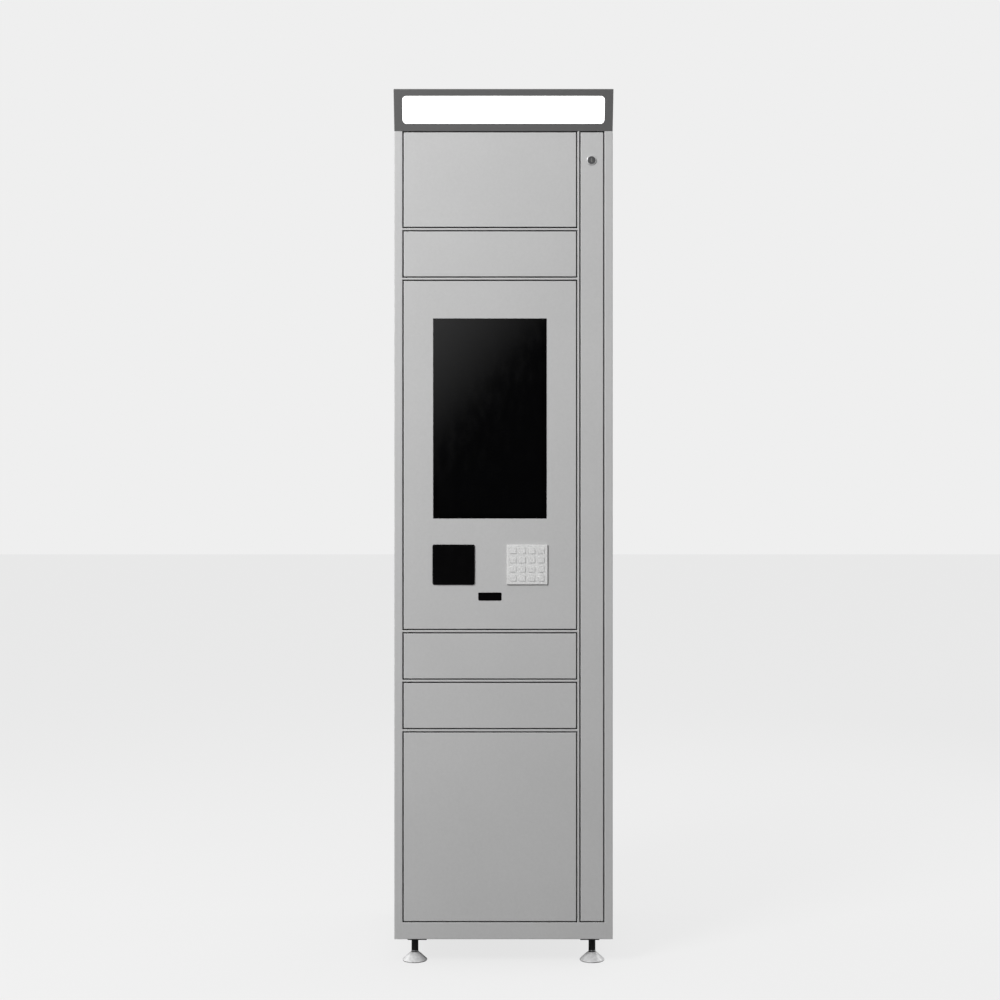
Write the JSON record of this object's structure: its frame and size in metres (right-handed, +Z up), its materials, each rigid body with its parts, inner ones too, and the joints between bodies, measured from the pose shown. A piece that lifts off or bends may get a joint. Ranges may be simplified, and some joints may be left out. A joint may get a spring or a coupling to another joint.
{
  "type": "parcel locker",
  "caption": "Upright parcel locker control column: steel cabinet on levelling feet with parcel doors, a kiosk door with display, reader and keypad, a service door and a lit hood.",
  "frame": {"origin": "centre of the footprint at floor level, midway between the hood's front edge and the rear screw heads", "axes": "+Z up, the doors face -Y, +X to the right of someone facing the doors"},
  "size_m": [0.5, 0.5792, 1.9999],
  "materials": {
    "light_coat": "fine textured powder coat, light grey",
    "dark_coat": "matt powder coat, dark grey",
    "zinc_sheet": "galvanised sheet steel, left bare",
    "zinc_fixing": "bright zinc plate",
    "black_stud": "black oxide",
    "foot_pad": "pressed steel, polished zinc plate",
    "lock_case": "moulded, satin black",
    "opal_panel": "opal acrylic, lit from behind",
    "black_aluminium": "black anodised",
    "supply_case": "satin",
    "circuit_board": "green solder mask",
    "cable_jacket": "black PVC",
    "black_nylon": "moulded nylon",
    "display_glass": "flush toughened glass, printed black behind",
    "black_steel": "black coat",
    "reader_face": "polished black",
    "scanner_window": "polished black filter",
    "keypad_metal": "bead-blasted stainless",
    "key_metal": "bead-blasted stainless",
    "lock_metal": "satin chrome"
  },
  "bodies": {
    "root": {"left_side_panel": "light_coat", "right_side_panel": "light_coat", "back_panel": "light_coat", "roof_panel": "zinc_sheet", "floor_pan": "light_coat", "lock_post": "light_coat", "partition_wall": "light_coat", "shelves": "light_coat", "base_rails": "black_steel", "levelling_studs": "black_stud", "levelling_feet": "foot_pad", "hinge_pins": "zinc_fixing", "panel_screws": "zinc_fixing", "lock_housings": "lock_case", "hood_shell": "dark_coat", "sign_diffuser": "opal_panel", "sign_light": "zinc_sheet", "equipment_plate": "zinc_sheet", "computer": "black_aluminium", "power_supply": "supply_case", "lock_controller": "circuit_board", "wiring_loom": "cable_jacket", "cable_gland": "black_nylon"},
    "compartment_1_door": {"compartment_1_door": "light_coat"},
    "compartment_2_door": {"compartment_2_door": "light_coat"},
    "compartment_3_door": {"compartment_3_door": "light_coat"},
    "compartment_4_door": {"compartment_4_door": "light_coat"},
    "compartment_5_door": {"compartment_5_door": "light_coat"},
    "kiosk_door": {"kiosk_door": "light_coat", "display_glass": "display_glass", "display_module": "black_steel", "card_reader": "reader_face", "barcode_scanner": "scanner_window", "keypad_plate": "keypad_metal", "keypad_base": "black_nylon"},
    "service_door": {"service_door": "light_coat", "cam_lock_barrel": "lock_metal"},
    "cam_lock_plug": {"cam_lock_plug": "lock_metal"},
    "compartment_1_claw": {"compartment_1_claw": "zinc_fixing"},
    "compartment_2_claw": {"compartment_2_claw": "zinc_fixing"},
    "compartment_3_claw": {"compartment_3_claw": "zinc_fixing"},
    "compartment_4_claw": {"compartment_4_claw": "zinc_fixing"},
    "compartment_5_claw": {"compartment_5_claw": "zinc_fixing"},
    "kiosk_claw": {"kiosk_claw": "zinc_fixing"},
    "key_1": {"key_1": "key_metal"},
    "key_2": {"key_2": "key_metal"},
    "key_3": {"key_3": "key_metal"},
    "key_cancel": {"key_cancel": "key_metal"},
    "key_4": {"key_4": "key_metal"},
    "key_5": {"key_5": "key_metal"},
    "key_6": {"key_6": "key_metal"},
    "key_clear": {"key_clear": "key_metal"},
    "key_7": {"key_7": "key_metal"},
    "key_8": {"key_8": "key_metal"},
    "key_9": {"key_9": "key_metal"},
    "key_enter": {"key_enter": "key_metal"},
    "key_star": {"key_star": "key_metal"},
    "key_0": {"key_0": "key_metal"},
    "key_hash": {"key_hash": "key_metal"},
    "key_help": {"key_help": "key_metal"}
  },
  "joints": [
    {"name": "compartment_1_door_hinge", "type": "hinge", "parent": "root", "child": "compartment_1_door", "pos_m": [-0.2155, -0.253, 1.79885], "axis": [0, 0, -1], "range_deg": [0, 110]},
    {"name": "compartment_2_door_hinge", "type": "hinge", "parent": "root", "child": "compartment_2_door", "pos_m": [-0.2155, -0.253, 1.62875], "axis": [0, 0, -1], "range_deg": [0, 110]},
    {"name": "compartment_3_door_hinge", "type": "hinge", "parent": "root", "child": "compartment_3_door", "pos_m": [-0.2155, -0.253, 0.70825], "axis": [0, 0, -1], "range_deg": [0, 110]},
    {"name": "compartment_4_door_hinge", "type": "hinge", "parent": "root", "child": "compartment_4_door", "pos_m": [-0.2155, -0.253, 0.59475], "axis": [0, 0, -1], "range_deg": [0, 110]},
    {"name": "compartment_5_door_hinge", "type": "hinge", "parent": "root", "child": "compartment_5_door", "pos_m": [-0.2155, -0.253, 0.317], "axis": [0, 0, -1], "range_deg": [0, 110]},
    {"name": "kiosk_door_hinge", "type": "hinge", "parent": "root", "child": "kiosk_door", "pos_m": [-0.2155, -0.253, 1.1685], "axis": [0, 0, -1], "range_deg": [0, 110]},
    {"name": "service_door_hinge", "type": "hinge", "parent": "root", "child": "service_door", "pos_m": [0.2155, -0.253, 1], "axis": [0, 0, 1], "range_deg": [0, 110]},
    {"name": "cam_lock_turn", "type": "hinge", "parent": "service_door", "child": "cam_lock_plug", "pos_m": [0.2017, -0.26, 1.843], "axis": [0, 1, 0], "range_deg": [0, 90]},
    {"name": "compartment_1_claw_turn", "type": "hinge", "parent": "root", "child": "compartment_1_claw", "pos_m": [0.156, -0.196, 1.78685], "axis": [-1, 0, 0], "range_deg": [0, 25]},
    {"name": "compartment_2_claw_turn", "type": "hinge", "parent": "root", "child": "compartment_2_claw", "pos_m": [0.156, -0.196, 1.61675], "axis": [-1, 0, 0], "range_deg": [0, 25]},
    {"name": "compartment_3_claw_turn", "type": "hinge", "parent": "root", "child": "compartment_3_claw", "pos_m": [0.156, -0.196, 0.69625], "axis": [-1, 0, 0], "range_deg": [0, 25]},
    {"name": "compartment_4_claw_turn", "type": "hinge", "parent": "root", "child": "compartment_4_claw", "pos_m": [0.156, -0.196, 0.58275], "axis": [-1, 0, 0], "range_deg": [0, 25]},
    {"name": "compartment_5_claw_turn", "type": "hinge", "parent": "root", "child": "compartment_5_claw", "pos_m": [0.156, -0.196, 0.305], "axis": [-1, 0, 0], "range_deg": [0, 25]},
    {"name": "kiosk_claw_turn", "type": "hinge", "parent": "root", "child": "kiosk_claw", "pos_m": [0.156, -0.196, 1.1565], "axis": [-1, 0, 0], "range_deg": [0, 25]},
    {"name": "key_1_press", "type": "slide", "parent": "kiosk_door", "child": "key_1", "axis": [0, 1, 0], "range_m": [0, 0.001], "stiffness_N_per_m": 800},
    {"name": "key_2_press", "type": "slide", "parent": "kiosk_door", "child": "key_2", "axis": [0, 1, 0], "range_m": [0, 0.001], "stiffness_N_per_m": 800},
    {"name": "key_3_press", "type": "slide", "parent": "kiosk_door", "child": "key_3", "axis": [0, 1, 0], "range_m": [0, 0.001], "stiffness_N_per_m": 800},
    {"name": "key_cancel_press", "type": "slide", "parent": "kiosk_door", "child": "key_cancel", "axis": [0, 1, 0], "range_m": [0, 0.001], "stiffness_N_per_m": 800},
    {"name": "key_4_press", "type": "slide", "parent": "kiosk_door", "child": "key_4", "axis": [0, 1, 0], "range_m": [0, 0.001], "stiffness_N_per_m": 800},
    {"name": "key_5_press", "type": "slide", "parent": "kiosk_door", "child": "key_5", "axis": [0, 1, 0], "range_m": [0, 0.001], "stiffness_N_per_m": 800},
    {"name": "key_6_press", "type": "slide", "parent": "kiosk_door", "child": "key_6", "axis": [0, 1, 0], "range_m": [0, 0.001], "stiffness_N_per_m": 800},
    {"name": "key_clear_press", "type": "slide", "parent": "kiosk_door", "child": "key_clear", "axis": [0, 1, 0], "range_m": [0, 0.001], "stiffness_N_per_m": 800},
    {"name": "key_7_press", "type": "slide", "parent": "kiosk_door", "child": "key_7", "axis": [0, 1, 0], "range_m": [0, 0.001], "stiffness_N_per_m": 800},
    {"name": "key_8_press", "type": "slide", "parent": "kiosk_door", "child": "key_8", "axis": [0, 1, 0], "range_m": [0, 0.001], "stiffness_N_per_m": 800},
    {"name": "key_9_press", "type": "slide", "parent": "kiosk_door", "child": "key_9", "axis": [0, 1, 0], "range_m": [0, 0.001], "stiffness_N_per_m": 800},
    {"name": "key_enter_press", "type": "slide", "parent": "kiosk_door", "child": "key_enter", "axis": [0, 1, 0], "range_m": [0, 0.001], "stiffness_N_per_m": 800},
    {"name": "key_star_press", "type": "slide", "parent": "kiosk_door", "child": "key_star", "axis": [0, 1, 0], "range_m": [0, 0.001], "stiffness_N_per_m": 800},
    {"name": "key_0_press", "type": "slide", "parent": "kiosk_door", "child": "key_0", "axis": [0, 1, 0], "range_m": [0, 0.001], "stiffness_N_per_m": 800},
    {"name": "key_hash_press", "type": "slide", "parent": "kiosk_door", "child": "key_hash", "axis": [0, 1, 0], "range_m": [0, 0.001], "stiffness_N_per_m": 800},
    {"name": "key_help_press", "type": "slide", "parent": "kiosk_door", "child": "key_help", "axis": [0, 1, 0], "range_m": [0, 0.001], "stiffness_N_per_m": 800}
  ]
}
